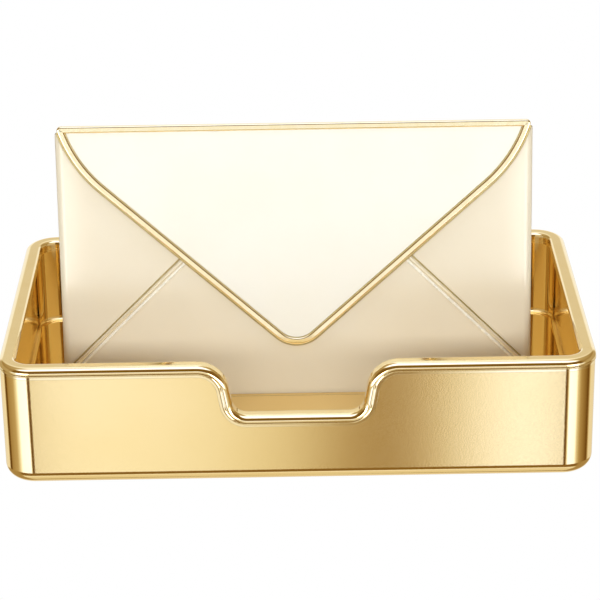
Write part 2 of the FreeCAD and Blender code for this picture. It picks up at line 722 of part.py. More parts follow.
def make_top_flap():
    """The pointed leaf, the strip over the envelope's top, and the moving knuckles."""
    body = new_body("top_flap")
    leaf = outline(body, "LeafSketch", "XZ_Plane", flap_outline("piping_width"), "flap_inner")
    grow(body, "Leaf", "Pad", leaf, "flap_sheet")
    strip = rectangle(body, "StripSketch", "XY_Plane",
                      ("-strip_half", "-flap_face"), ("strip_half", "strip_back"), "strip_bottom")
    grow(body, "Strip", "Pad", strip, "flap_sheet")
    start = "hinge_start + hinge_pitch"
    arm = rectangle(body, "ArmSketch", "YZ_Plane", ("strip_back - lap", "strip_bottom"),
                    ("hinge_line", "strip_bottom + flap_sheet"), start)
    arms = grow(body, "Arm", "Pad", arm, "hinge_pitch - hinge_gap")
    roll = circles(body, "KnuckleSketch", "YZ_Plane", [("hinge_line", "hinge_level")],
                   "2 * hinge_radius", start)
    rolls = grow(body, "Knuckle", "Pad", roll, "hinge_pitch - hinge_gap")
    repeat(body, "Knuckles", [arms, rolls], "2 * hinge_pitch", "(hinge_segments - 1) / 2")
    bore = circles(body, "BoreSketch", "YZ_Plane", [("hinge_line", "hinge_level")],
                   "pin_diameter + 2 * pin_running_clearance", "-hinge_length / 2")
    grow(body, "Bore", "Pocket", bore, "hinge_length", True)
    recess = catch_square(body, "flap_inner", "catch_clearance")
    grow(body, "MagnetRecess", "Pocket", recess, "catch_thickness", True)
    lean_back(body)
    return body


def make_flap_piping():
    """The bevelled bead that runs right round the flap's edge."""
    body = new_body("flap_piping")
    outer = outline(body, "OuterSketch", "XZ_Plane", flap_outline("0"), "flap_inner")
    grow(body, "Plate", "Pad", outer, "piping_depth")
    inner = outline(body, "InnerSketch", "XZ_Plane", flap_outline("piping_width"), "piping_face + beyond")
    ring = grow(body, "Ring", "Pocket", inner, "piping_depth + 2 * beyond")
    front = -number("piping_face")
    soften(body, "Crown", "Chamfer", ring, "piping_bevel",
           lambda edge: edge.BoundBox.YMax < front + SAME)
    lean_back(body)
    return body


# ---------------------------------------------------------------- the assembly

pieces = [
    make_tray_shell(),
    make_rim_moulding(),
    make_base_plate(),
    make_screws("base_screws", boss_spots(), "screw_reach"),
    make_cradle(),
    make_screws("cradle_screws", cradle_screw_spots(), "cradle_screw_reach"),
]
for end_name, end in (("front", "-1"), ("back", "1")):
    for side_name, side in (("left", "-1"), ("right", "1")):
        pieces.append(make_foot("foot_%s_%s" % (end_name, side_name), side, end))
pieces.append(make_envelope_back())
pieces.append(make_bottom_flap())
for side_name, side in (("left", "-1"), ("right", "1")):
    pieces.append(make_side_flap(side_name + "_side_flap", side))
    pieces.append(make_seam_bead(side_name + "_seam_bead", side))
pieces.append(make_hinge_pin())
pieces.append(make_catch("catch_plate", "bottom_face - catch_thickness"))
pieces.append(make_top_flap())
pieces.append(make_flap_piping())
pieces.append(make_catch("flap_magnet", "flap_inner"))
doc.recompute()

for item in doc.Objects:
    if "Invalid" in item.State or "Error" in item.State:
        raise RuntimeError("%s did not build: %s" % (item.Label, item.State))
for piece in pieces:
    if piece.Shape.isNull() or not piece.Shape.isValid():
        raise RuntimeError("%s has no valid shape" % piece.Label)
    piece.Shape.exportStep("parts/%s.step" % piece.Label)
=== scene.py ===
import bpy
import json
import numpy as np
from mathutils import Matrix, Vector


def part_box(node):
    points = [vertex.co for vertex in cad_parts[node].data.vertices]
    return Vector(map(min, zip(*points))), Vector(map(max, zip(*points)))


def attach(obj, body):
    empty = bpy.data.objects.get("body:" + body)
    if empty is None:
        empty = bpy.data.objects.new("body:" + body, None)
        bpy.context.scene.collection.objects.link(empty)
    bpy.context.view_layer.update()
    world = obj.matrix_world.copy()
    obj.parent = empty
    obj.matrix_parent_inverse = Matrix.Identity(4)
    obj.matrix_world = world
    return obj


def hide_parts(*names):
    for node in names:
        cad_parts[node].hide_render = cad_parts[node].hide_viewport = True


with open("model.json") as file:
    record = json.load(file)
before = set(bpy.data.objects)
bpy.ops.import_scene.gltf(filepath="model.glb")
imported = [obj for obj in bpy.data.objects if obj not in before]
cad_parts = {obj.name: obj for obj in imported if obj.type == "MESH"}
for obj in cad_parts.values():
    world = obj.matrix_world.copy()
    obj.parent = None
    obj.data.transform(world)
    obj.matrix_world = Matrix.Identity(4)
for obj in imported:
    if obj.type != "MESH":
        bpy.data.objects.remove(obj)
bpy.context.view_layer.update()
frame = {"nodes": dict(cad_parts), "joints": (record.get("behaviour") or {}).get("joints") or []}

# ---------------------------------------------------------------- moulding on the tray's rim
# A brass strip of one section, bent round the top of the tray and down through the scoop.
# Its upper edges are rounded, a step and a fine groove run along its outer face, and the
# whole strip is buffed to a mirror and plated gold.

PLAN_RADIUS = 0.016                 # outer corner of the moulding, seen from above
RIM_WIDTH = 0.0083
RIM_HEIGHT = 0.006
STEP_HEIGHT = 0.0015
STEP_INSET = 0.00035
OUTER_ROUND = 0.0030
INNER_ROUND = 0.0023
DRAFT = np.tan(np.radians(3.5))     # slope of the outer face
GROOVE_LEVEL = 0.00245              # middle of the groove in the outer face, above the foot
GROOVE_HALF = 0.0003
GROOVE_DEPTH = 0.00008
EDGE_EASE = 0.00028                 # how far the small edges are eased
EDGE_STEPS = 10
EDGE_LEAD = 0.00003                 # from the end of an eased edge to the next point of the section
BEND_STEPS = 28
BEND_LEAD = 0.0004                  # from the end of a bend to the next point of the path
SCOOP_HALF = 0.03585                # to the middle of the scoop's sloping sides
SCOOP_DEPTH = 0.027
SCOOP_SLOPE = np.radians(80)
SCOOP_UPPER_BEND = 0.0126
SCOOP_LOWER_BEND = 0.0105

rim_high = np.array(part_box("rim_moulding")[1])
RIM_TOP = rim_high[2]
WALL_TOP = RIM_TOP - RIM_HEIGHT
TRAY_HALF_X = rim_high[0]
TRAY_HALF_Y = rim_high[1]
RIM_LINE_Z = RIM_TOP - RIM_HEIGHT / 2


def rounded(corners, radii, arc_steps, ease, closed=True):
    """Points of a line through the corners, with every corner replaced by an arc of its radius.

    An arc touches both of its runs at radius / tan(half the corner's angle) from the corner.
    Next to each of its ends stands one more point on the run, ease away, which keeps the
    shading of the run flat.
    """
    corners = np.array(corners, float)
    radii = np.array(radii, float)[:, None]
    before = np.roll(corners, 1, axis=0) - corners
    after = np.roll(corners, -1, axis=0) - corners
    before /= np.linalg.norm(before, axis=1, keepdims=True)
    after /= np.linalg.norm(after, axis=1, keepdims=True)
    if not closed:
        before[0], after[-1] = -after[0], -before[-1]
    half = np.arccos(np.clip((before * after).sum(1), -1, 1))[:, None] / 2
    turn = np.linspace(-1, 1, arc_steps + 1)[None, :] * (np.pi / 2 - half)
    inwards = before + after
    length = np.linalg.norm(inwards, axis=1, keepdims=True)
    inwards = np.divide(inwards, length, out=np.zeros_like(inwards), where=length > 1e-9)
    along = after - before
    along /= np.linalg.norm(along, axis=1, keepdims=True)
    centre = corners + inwards * radii / np.sin(half)
    arc = (centre[:, None] - inwards[:, None] * (radii * np.cos(turn))[..., None]
           + along[:, None] * (radii * np.sin(turn))[..., None])
    lead = corners + before * (radii / np.tan(half) + ease)
    tail = corners + after * (radii / np.tan(half) + ease)
    points = np.concatenate([lead[:, None], arc, tail[:, None]], axis=1)
    if not closed:
        bends = points[1:-1].reshape(-1, corners.shape[1])
        return np.concatenate([corners[:1], bends, corners[-1:]])
    return points.reshape(-1, corners.shape[1])


def surface(name, grid, closed_rows=False, closed_columns=False):
    """A smooth mesh object over a grid of points, (rows, columns, xyz), with a quad in each cell.

    A closed direction joins its last line of points to its first. The faces look to the side
    from which the columns run to the right while the rows run upwards.
    """
    rows, columns = grid.shape[:2]
    index = np.arange(rows * columns).reshape(rows, columns)
    upper = np.roll(index, -1, axis=0)
    right = np.roll(index, -1, axis=1)
    corner = np.roll(upper, -1, axis=1)
    quads = np.stack([index, right, corner, upper], axis=-1)
    quads = quads[:rows if closed_rows else rows - 1, :columns if closed_columns else columns - 1]
    quads = quads.reshape(-1, 4)
    mesh = bpy.data.meshes.new(name)
    mesh.from_pydata(grid.reshape(-1, 3).tolist(), [], quads.tolist())
    mesh.polygons.foreach_set("use_smooth", np.ones(len(quads), bool))
    mesh.update()
    piece = bpy.data.objects.new(name, mesh)
    bpy.context.scene.collection.objects.link(piece)
    return piece


def carried(section, path, outwards, upwards):
    """The section's points (out, up) carried along a path: point = path + out * N + up * U.

    N and U are the unit vectors that point out of the line and up from it at each path point.
    """
    out, up = section[:, 0], section[:, 1]
    return (path[None] + out[:, None, None] * outwards[None] + up[:, None, None] * upwards[None])


def ring_frame(path):
    """Tangent, outward and upward unit vectors along a closed path that runs round to the left.

    The tangent is the mean of the two neighbouring chords; outwards is level and square to it.
    """
    chords = np.roll(path, -1, axis=0) - path
    chords /= np.linalg.norm(chords, axis=1, keepdims=True)
    tangent = chords + np.roll(chords, 1, axis=0)
    tangent /= np.linalg.norm(tangent, axis=1, keepdims=True)
    outwards = np.stack([tangent[:, 1], -tangent[:, 0], np.zeros(len(path))], axis=1)
    outwards /= np.linalg.norm(outwards, axis=1, keepdims=True)
    return tangent, outwards, np.cross(outwards, tangent)


def scoop_corners(drop, shift):
    """Corners of the scoop's line in (x, z), lowered by drop and widened by shift."""
    run = SCOOP_DEPTH / np.tan(SCOOP_SLOPE) / 2
    upper, lower = SCOOP_HALF + run + shift, SCOOP_HALF - run + shift
    top, bottom = RIM_LINE_Z - drop, RIM_LINE_Z - SCOOP_DEPTH - drop
    return np.array([(-upper, top), (-lower, bottom), (lower, bottom), (upper, top)])


rim_line_x = TRAY_HALF_X - RIM_WIDTH / 2
rim_line_y = TRAY_HALF_Y - RIM_WIDTH / 2
dip = scoop_corners(0.0, 0.0)
dip_corners = np.stack([dip[:, 0], np.full(4, -rim_line_y), dip[:, 1]], axis=1)
plan_corners = np.array([(1, -1), (1, 1), (-1, 1), (-1, -1)]) * (rim_line_x, rim_line_y)
plan_corners = np.column_stack([plan_corners, np.full(4, RIM_LINE_Z)])
rim_path = rounded(np.concatenate([dip_corners, plan_corners]),
                   [SCOOP_UPPER_BEND, SCOOP_LOWER_BEND, SCOOP_LOWER_BEND, SCOOP_UPPER_BEND]
                   + [PLAN_RADIUS - RIM_WIDTH / 2] * 4, BEND_STEPS, BEND_LEAD)
_, rim_out, rim_up = ring_frame(rim_path)

half_width = RIM_WIDTH / 2
half_height = RIM_HEIGHT / 2
foot = half_width - STEP_INSET
shelf = STEP_HEIGHT - half_height
groove = GROOVE_LEVEL - half_height
rim_corners = [(-foot, -half_height), (foot, -half_height), (foot, shelf), (half_width, shelf),
               (half_width - (groove - GROOVE_HALF - shelf) * DRAFT, groove - GROOVE_HALF),
               (half_width - (groove - shelf) * DRAFT - GROOVE_DEPTH, groove),
               (half_width - (groove + GROOVE_HALF - shelf) * DRAFT, groove + GROOVE_HALF),
               (half_width - (half_height - shelf) * DRAFT, half_height),
               (-half_width, half_height), (-half_width, shelf), (-foot, shelf)]
rim_eases = [EDGE_EASE, EDGE_EASE, EDGE_EASE / 2, EDGE_EASE, EDGE_EASE / 4, EDGE_EASE / 4,
             EDGE_EASE / 4, OUTER_ROUND, INNER_ROUND, EDGE_EASE, EDGE_EASE / 2]
rim_section = rounded(rim_corners, rim_eases, EDGE_STEPS, EDGE_LEAD)
rim = surface("rim_strip", carried(rim_section, rim_path, rim_out, rim_up),
              closed_rows=True, closed_columns=True)


class Shade:
    """One output of a shader node, so that node trees can be written as expressions."""

    def __init__(self, tree, socket):
        self.tree = tree
        self.socket = socket

    def node(self, kind, settings=None, inputs=None, output=0):
        """Adds a node: its settings first, then the values or links of its sockets."""
        added = self.tree.nodes.new(kind)
        for word, value in (settings or {}).items():
            if word == "stops":
                ends = added.color_ramp.elements
                ends[0].position, ends[1].position = value[0][0], value[-1][0]
                for place, _ in value[1:-1]:
                    ends.new(place)
                for element, (_, level) in zip(ends, value):
                    element.color = (level, level, level, 1.0)
            else:
                setattr(added, word, value)
        for word, value in (inputs or {}).items():
            if isinstance(value, Shade):
                self.tree.links.new(value.socket, added.inputs[word])
            else:
                added.inputs[word].default_value = value
        return Shade(self.tree, added.outputs[output])

    def maths(self, operation, *others):
        """A Math node on this value and the others."""
        return self.node("ShaderNodeMath", {"operation": operation},
                         dict(enumerate((self, *others))))

    def __add__(self, other):
        return self.maths("ADD", other)

    def __sub__(self, other):
        return self.maths("SUBTRACT", other)

    def __mul__(self, other):
        return self.maths("MULTIPLY", other)

    def __rsub__(self, other):
        return self * -1 + other

    def step(self, low, high):
        """0 below low, 1 above high and a smooth rise between them."""
        return self.node("ShaderNodeMapRange", {"interpolation_type": "SMOOTHSTEP"},
                         {"Value": self, "From Min": low, "From Max": high})

    def between(self, first, second):
        """The mix of two colours that this value, from 0 to 1, stands for."""
        colours = {6: first, 7: second}
        colours = {place: (*colour, 1.0) if isinstance(colour, tuple) else colour
                   for place, colour in colours.items()}
        return self.node("ShaderNodeMix", {"data_type": "RGBA"}, {0: self, **colours}, output=2)


def material(name, constants):
    """A new material with one Principled shader, whose constant sockets are set here."""
    made = bpy.data.materials.new(name)
    made.use_nodes = True
    shader = made.node_tree.nodes["Principled BSDF"]
    for word, value in constants.items():
        shader.inputs[word].default_value = (*value, 1.0) if isinstance(value, tuple) else value
    return made, Shade(made.node_tree, None), shader


def place_on(start):
    """Object coordinates, in metres."""
    return start.node("ShaderNodeTexCoord", output=3)


def noise(place, scale, detail=3.0, roughness=0.5):
    """Fractal noise at a number of features per metre."""
    return place.node("ShaderNodeTexNoise", None,
                      {"Vector": place, "Scale": scale, "Detail": detail, "Roughness": roughness})


def drive(shader, **sockets):
    """Links values to sockets of the shader, whose names are written with _ for a space."""
    for word, value in sockets.items():
        value.tree.links.new(value.socket, shader.inputs[word.replace("_", " ")])


def bump(height, distance, strength=1.0):
    """A normal that follows a height of 0 to 1, which stands for a distance in metres."""
    return height.node("ShaderNodeBump", None,
                       {"Height": height, "Distance": distance, "Strength": strength})


def dress(piece, made):
    """Gives a piece one material, also where it is a CAD node that came with another."""
    piece.data.materials.clear()
    piece.data.materials.append(made)


def plated(name, metallic, first, second, roughness, spread, *texture):
    """A plated surface: wiping marks between two near colours, and roughness + spread * marks."""
    made, start, shader = material(name, {"Metallic": metallic})
    marks = noise(place_on(start), *texture)
    drive(shader, Base_Color=marks.step(0.3, 0.7).between(first, second),
          Roughness=marks * spread + roughness)
    return made


polished_gold = plated("polished_gold", 1.0, (0.94, 0.77, 0.43), (0.96, 0.80, 0.47), 0.05, 0.04,
                       90.0, 4.0, 0.6)
dress(rim, polished_gold)
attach(rim, "tray")
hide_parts("rim_moulding")

# ---------------------------------------------------------------- tray casting
# A pan cast in one piece: walls with a large round along the foot, a floor with a long
# opening for the cradle, and a hollow underside. The wall's top follows the scoop. The
# outside is blasted to a fine satin and plated gold.

WALL = 0.0042
RIM_PROUD = 0.0004
BASE_ROUND = 0.007
FLOOR_BEVEL = 0.0022
FLOOR_THICKNESS = 0.0028
REBATE_MARGIN = 0.01075
REBATE_DEPTH = 0.0027
REBATE_CORNER = 0.00805
LEDGE = 0.00425
HOLLOW_CORNER = 0.004
UNDER_RIM = 0.0004                  # how far the wall's top reaches up inside the moulding
OPENING_GAP = 0.00015               # between the cradle and the edge of its opening
OPENING_ROUND = 0.00005
SUPPORT = 0.0005                    # from the end of a bend to the next column on the run
EDGE_ROW = 0.0001                   # from a sharp edge to the row beside it, for its shading
FACE_ROW = 0.0002
TOP_ROW = 0.0003
LEG_ASIDE = 0.04                    # ends of the straight legs from which the two rounds are cut
LEG_UP = 0.05
BASE_STEPS = 16
BEVEL_STEPS = 10
SCOOP_STEPS = 24
CORNER_STEPS = 28
SIDE_COLUMNS = np.array([0, 0.004, 0.33, 0.67, 0.996, 1])

shell_low, shell_high = (np.array(corner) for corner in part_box("tray_shell"))
cradle_low, cradle_high = (np.array(corner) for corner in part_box("envelope_cradle"))
FOOT = shell_low[2]
FLOOR = cradle_high[2]
shell_half = shell_high[:2]
shell_radius = PLAN_RADIUS - RIM_PROUD

run_half = shell_half[0] - shell_radius
edge_drop = RIM_HEIGHT / 2 - UNDER_RIM
scoop_edge = scoop_corners(edge_drop, edge_drop * np.tan(SCOOP_SLOPE / 2))
scoop_edge = np.concatenate([[(-run_half, WALL_TOP + UNDER_RIM)], scoop_edge,
                             [(run_half, WALL_TOP + UNDER_RIM)]])
scoop_edge = rounded(scoop_edge, [0, SCOOP_UPPER_BEND - edge_drop, SCOOP_LOWER_BEND + edge_drop,
                                  SCOOP_LOWER_BEND + edge_drop, SCOOP_UPPER_BEND - edge_drop, 0],
                     SCOOP_STEPS, FACE_ROW, closed=False)
front_x = np.concatenate([[-run_half, SUPPORT - run_half], scoop_edge[1:-1, 0],
                          [run_half - SUPPORT, run_half]])
front_share = (front_x / run_half + 1) / 2
wall_edge = np.interp(front_x, scoop_edge[:, 0], scoop_edge[:, 1])
quarter = np.linspace(0, np.pi / 2, CORNER_STEPS + 1)


def plan_ring(half_x, half_y, radius, centre_y=0.0):
    """A rounded rectangle in plan, front run first, with the same number of points at any size.

    Runs are shared out between the ends of the corners' arcs, and each corner turns 90 degrees.
    """
    inner = np.array([half_x - radius, half_y - radius])
    sides = [((-1, -1), (1, -1), front_share), ((1, -1), (1, 1), SIDE_COLUMNS),
             ((1, 1), (-1, 1), SIDE_COLUMNS), ((-1, 1), (-1, -1), SIDE_COLUMNS)]
    ring = []
    for k, (begin, end, share) in enumerate(sides):
        normal = np.array([(0, -1), (1, 0), (0, 1), (-1, 0)][k])
        run = np.outer(1 - share, begin * inner) + np.outer(share, end * inner) + normal * radius
        side = np.array([normal[1] * -1.0, normal[0]])
        bend = (end * inner + np.outer(np.cos(quarter), normal) * radius
                + np.outer(np.sin(quarter), side) * radius)
        ring += [run, bend[1:-1]]
    return np.concatenate(ring) + (0, centre_y)


outer_ring = plan_ring(*shell_half, shell_radius)
top_of_wall = np.full(len(outer_ring), WALL_TOP + UNDER_RIM)
top_of_wall[:len(front_x)] = wall_edge

opening_half = (cradle_high - cradle_low)[:2] / 2 + OPENING_GAP
opening_y = (cradle_high + cradle_low)[1] / 2
under = FLOOR - FLOOR_THICKNESS


def casting_row(inset, level, radius=None):
    """One row of the casting: the outer ring moved in by inset, at one level or at many."""
    ring = plan_ring(*(shell_half - inset), shell_radius - inset if radius is None else radius)
    return np.column_stack([ring, np.broadcast_to(level, len(ring))])


def opening_row(level, outside=0.0):
    """One row of the casting along the edge of the cradle's opening, or a little outside it."""
    ring = plan_ring(*(opening_half + outside), OPENING_ROUND + outside, opening_y)
    return np.column_stack([ring, np.full(len(outer_ring), level)])


base = rounded([(LEG_ASIDE, FOOT), (0.0, FOOT), (0.0, LEG_UP)], [0, BASE_ROUND, 0],
               BASE_STEPS, FACE_ROW, closed=False)[1:-1]
bevel = rounded([(WALL, LEG_UP), (WALL, FLOOR), (LEG_ASIDE, FLOOR)], [0, FLOOR_BEVEL, 0],
                BEVEL_STEPS, FACE_ROW, closed=False)[1:-1]
ledge = REBATE_MARGIN + LEDGE
rebate_top = FOOT + REBATE_DEPTH
rows = [opening_row(under), opening_row(under + EDGE_ROW), opening_row(FLOOR - EDGE_ROW),
        opening_row(FLOOR), opening_row(FLOOR, FACE_ROW)]
rows += [casting_row(inset, level) for inset, level in bevel[::-1]]
rows += [casting_row(WALL, top_of_wall - TOP_ROW), casting_row(WALL, top_of_wall),
         casting_row(0.0, top_of_wall), casting_row(0.0, top_of_wall - TOP_ROW)]
rows += [casting_row(inset, level) for inset, level in base[::-1]]
rows += [casting_row(REBATE_MARGIN - FACE_ROW, FOOT, REBATE_CORNER),
         casting_row(REBATE_MARGIN, FOOT + FACE_ROW, REBATE_CORNER),
         casting_row(REBATE_MARGIN, rebate_top - EDGE_ROW, REBATE_CORNER),
         casting_row(REBATE_MARGIN + EDGE_ROW, rebate_top, REBATE_CORNER),
         casting_row(ledge, rebate_top, HOLLOW_CORNER),
         casting_row(ledge, under - EDGE_ROW, HOLLOW_CORNER),
         casting_row(ledge + EDGE_ROW, under, HOLLOW_CORNER)]
casting = surface("tray_casting", np.array(rows)[::-1], closed_rows=True, closed_columns=True)

satin_gold, start, shader = material("satin_gold", {"Metallic": 1.0})
place = place_on(start)
grain = noise(place, 1500.0, 3.0, 0.6)
cloud = noise(place, 14.0, 2.0)
drive(shader, Base_Color=cloud.step(0.3, 0.7).between((0.94, 0.72, 0.33), (0.96, 0.75, 0.37)),
      Roughness=grain * 0.06 + 0.065, Normal=bump(grain, 0.000006, 1.0))
dress(casting, satin_gold)
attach(casting, "tray")
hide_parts("tray_shell")

# ---------------------------------------------------------------- cover, screws and feet
# A painted steel sheet closes the hollow underside. Four screws hold it to the casting and
# two more, through the same sheet, hold the cradle. Square rubber pads keep the tray off
# the desk.

cover_paint, start, shader = material("cover_paint", {"Metallic": 0.0, "Specular IOR Level": 0.4})
speckle = noise(place_on(start), 900.0, 3.0, 0.7)
drive(shader,
      Base_Color=speckle.step(0.35, 0.65).between((0.055, 0.050, 0.042), (0.085, 0.078, 0.066)),
      Roughness=speckle * 0.2 + 0.45, Normal=bump(speckle, 0.00003, 0.4))
dress(frame["nodes"]["base_plate"], cover_paint)

screw_steel, start, shader = material("screw_steel", {"Metallic": 1.0})
turned = noise(place_on(start), 3200.0, 2.0)
drive(shader, Base_Color=turned.between((0.52, 0.51, 0.49), (0.68, 0.67, 0.65)),
      Roughness=turned * 0.15 + 0.22)
for name in ("base_screws", "cradle_screws", "hinge_pin", "catch_plate"):
    dress(frame["nodes"][name], screw_steel)

foot_rubber, start, shader = material("foot_rubber", {"Specular IOR Level": 0.35})
skin = noise(place_on(start), 1800.0, 3.0)
drive(shader, Base_Color=skin.between((0.012, 0.012, 0.012), (0.030, 0.030, 0.030)),
      Roughness=skin * 0.2 + 0.65, Normal=bump(skin, 0.00005, 0.4))
for name in ("foot_front_left", "foot_front_right", "foot_back_left", "foot_back_right"):
    dress(frame["nodes"][name], foot_rubber)

# ---------------------------------------------------------------- cradle
# A bar let into the floor, flush with it, with a leaning groove that holds the envelope's
# foot. It is the same cast metal as the tray.

dress(frame["nodes"]["envelope_cradle"], satin_gold)

# ---------------------------------------------------------------- envelope panels
# The envelope is folded and lacquered sheet: a back panel, two side walls that turn round
# into front leaves with a slanting throat, and a bottom flap whose pointed leaf covers them.
# The lacquer is a pearly champagne cream over a metal primer. All lengths here are measured
# on the envelope itself: across it, behind its middle plane, and up its leaning height.

ENVELOPE_HALF = 0.1195
POCKET_BACK = 0.004                 # inner face of the back panel, behind the middle plane
SIDE_FACE = -0.0036
SIDE_SHEET = 0.0016
SIDE_FOLD = 0.004
SIDE_REACH = 0.078
SIDE_TOP = 0.1432
THROAT = [(0.0, SIDE_TOP), (0.00838, SIDE_TOP), (0.016, 0.1232), (0.079, 0.104)]
THROAT_ROUNDS = [0.0, 0.0012, 0.010, 0.0]
HEM_INSET = 0.010
SEAM_SLOPE = np.tan(np.radians(44.3))
BOTTOM_FACE = -0.0048
BOTTOM_SHEET = 0.0012
SEAM_HALF = 0.1165
SEAM_FOOT = 0.0193
SEAM_TIP_ROUND = 0.020
LEAF_CORNER = 0.006
FOLD_ROUND = 0.0009
CROWN_REACH = 0.022                 # the front leaf falls back towards its fold over this width
CROWN_FALL = 0.0007
SIDE_FOLD_STEPS = 16
THROAT_STEPS = 10
LEAF_STEPS = 24
LEAF_LEAD = 0.0003
LEAF_COLUMNS = 40
LEAF_START = 0.0006                 # from the side fold's end to the leaf's first column
SHEET_ROWS = 5
HINGE_BACK = 0.0049                 # the hinge's line, behind the envelope's middle plane
HINGE_LEVEL = 0.1432
LINING_BACK = -0.0060               # the flap's inner face lies behind this and below LINING_TOP
LINING_TOP = 0.1465
LINING_EDGE = 0.0001

joints = {joint["name"]: joint for joint in frame["joints"]}
UPWARDS = np.array(joints["envelope_lift"]["axis"])
BACKWARDS = np.array([0.0, UPWARDS[2], -UPWARDS[1]])
SEAT = np.array(joints["flap_hinge"]["pos_m"]) - BACKWARDS * HINGE_BACK - UPWARDS * HINGE_LEVEL


def leaned(across, back, level):
    """Points of the leaning envelope: seat + across * X + back * its back + level * its height."""
    across, back, level = np.broadcast_arrays(across, back, level)
    return (SEAT + across[..., None] * np.array([1.0, 0, 0]) + back[..., None] * BACKWARDS
            + level[..., None] * UPWARDS)


def sheet_metal(piece, thickness, eased=0.0003):
    """Gives a surface the thickness of its sheet, behind its face, and eases the cut edges."""
    wall = piece.modifiers.new("thickness", "SOLIDIFY")
    wall.thickness = thickness
    wall.offset = -1
    edge = piece.modifiers.new("eased", "BEVEL")
    edge.width = eased
    edge.segments = 2
    edge.limit_method = "ANGLE"
    edge.angle_limit = np.radians(50)
    edge.harden_normals = True


def reach(place, way):
    """How far a place lies along a direction."""
    return place.node("ShaderNodeVectorMath", {"operation": "DOT_PRODUCT"}, {0: place, 1: way}, 1)


def lacquer(name, light, deep, roughness, lining=None):
    """Pearly lacquer: a faint cloud of two near creams over metal, under a clear coat.

    A lining colour, if there is one, covers what lies behind LINING_BACK and below LINING_TOP.
    """
    made, start, shader = material(name, {"Metallic": 0.06, "Coat Weight": 0.45,
                                          "Coat Roughness": 0.10})
    place = place_on(start)
    cloud = noise(place, 22.0, 3.0)
    pearl = noise(place, 4200.0, 2.0, 0.6)
    colour = cloud.step(0.25, 0.75).between(deep, light)
    if lining:
        depth = reach(place, BACKWARDS) - SEAT @ BACKWARDS
        level = reach(place, UPWARDS) - SEAT @ UPWARDS
        inside = (depth.step(LINING_BACK - LINING_EDGE, LINING_BACK + LINING_EDGE)
                  * (1 - level.step(LINING_TOP, LINING_TOP + LINING_EDGE)))
        colour = inside.between(colour, lining)
    drive(shader, Base_Color=colour, Roughness=pearl * 0.06 + roughness,
          Normal=bump(pearl, 0.000002, 0.3))
    return made


panel_lacquer = lacquer("panel_lacquer", (0.88, 0.80, 0.62), (0.86, 0.775, 0.59), 0.32)
dress(frame["nodes"]["envelope_back"], panel_lacquer)

throat = rounded(THROAT, THROAT_ROUNDS, THROAT_STEPS, LEAF_LEAD, closed=False)
for side_name, side in (("left", -1), ("right", 1)):
    fold = rounded([(0.0, POCKET_BACK), (0.0, SIDE_FACE), (SIDE_REACH, SIDE_FACE)],
                   [0, SIDE_FOLD, 0], SIDE_FOLD_STEPS, FACE_ROW, closed=False)
    leaf = np.linspace(SIDE_FOLD + LEAF_START, SIDE_REACH, LEAF_COLUMNS)
    leaf = np.column_stack([leaf, np.full(LEAF_COLUMNS, SIDE_FACE)])
    fold = np.concatenate([fold[:-1], leaf])
    inwards, back = fold[:, 0], fold[:, 1]
    back = back + CROWN_FALL * np.clip(1 - inwards / CROWN_REACH, 0, 1) ** 2 * (back <= 0)
    low = np.maximum(BOTTOM_SHEET, (inwards - HEM_INSET) * SEAM_SLOPE)
    high = np.interp(inwards, throat[:, 0], throat[:, 1])
    share = np.linspace(0, 1, SHEET_ROWS)[:, None]
    grid = leaned(side * (ENVELOPE_HALF - inwards), back, low * (1 - share) + high * share)
    wall = surface(side_name + "_side_wall", grid if side < 0 else grid[:, ::-1])
    sheet_metal(wall, SIDE_SHEET)
    dress(wall, panel_lacquer)
    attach(wall, "envelope")
    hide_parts(side_name + "_side_flap")

seam_tip = (0, SEAM_FOOT + SEAM_HALF * SEAM_SLOPE)
leaf_edge = rounded([(-SEAM_HALF, 0), (-SEAM_HALF, SEAM_FOOT), seam_tip, (SEAM_HALF, SEAM_FOOT),
                     (SEAM_HALF, 0)],
                    [0, LEAF_CORNER, SEAM_TIP_ROUND, LEAF_CORNER, 0], LEAF_STEPS, LEAF_LEAD,
                    closed=False)[1:-1]
under_fold = rounded([(POCKET_BACK, 0), (BOTTOM_FACE, 0), (BOTTOM_FACE, 0.01)],
                     [0, FOLD_ROUND, 0], 8, 0.0001, closed=False)[:-1]
spread = np.where(under_fold[:, 0] > BOTTOM_FACE + 2 * FOLD_ROUND, ENVELOPE_HALF / SEAM_HALF, 1.0)
rows = [leaned(leaf_edge[:, 0] * wide, back, level)
        for (back, level), wide in zip(under_fold, spread)]
rows += [leaned(leaf_edge[:, 0], BOTTOM_FACE,
                FOLD_ROUND * 2 * (1 - share) + leaf_edge[:, 1] * share)
         for share in np.linspace(0, 1, SHEET_ROWS)]
bottom_leaf = surface("bottom_leaf", np.array(rows))
sheet_metal(bottom_leaf, BOTTOM_SHEET)
dress(bottom_leaf, panel_lacquer)
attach(bottom_leaf, "envelope")
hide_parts("bottom_flap")

# ---------------------------------------------------------------- seam beads
# Half-round wire, plated a pale gold and soldered along the two slanting edges of the
# bottom flap's leaf.

BEAD_WIDTH = 0.0020
BEAD_FOOT = 0.023
BEAD_TOP = 0.090
BEAD_INNER = -0.0036
BEAD_CROWN = -0.0052
BEAD_ROUNDS = [0.05, 0.05, 0.45, 0.45]      # shares of the bead's width
BEAD_END_STEPS = 8

bead_gold = plated("bead_gold", 0.4, (0.95, 0.87, 0.64), (0.97, 0.90, 0.70), 0.14, 0.05, 160.0)

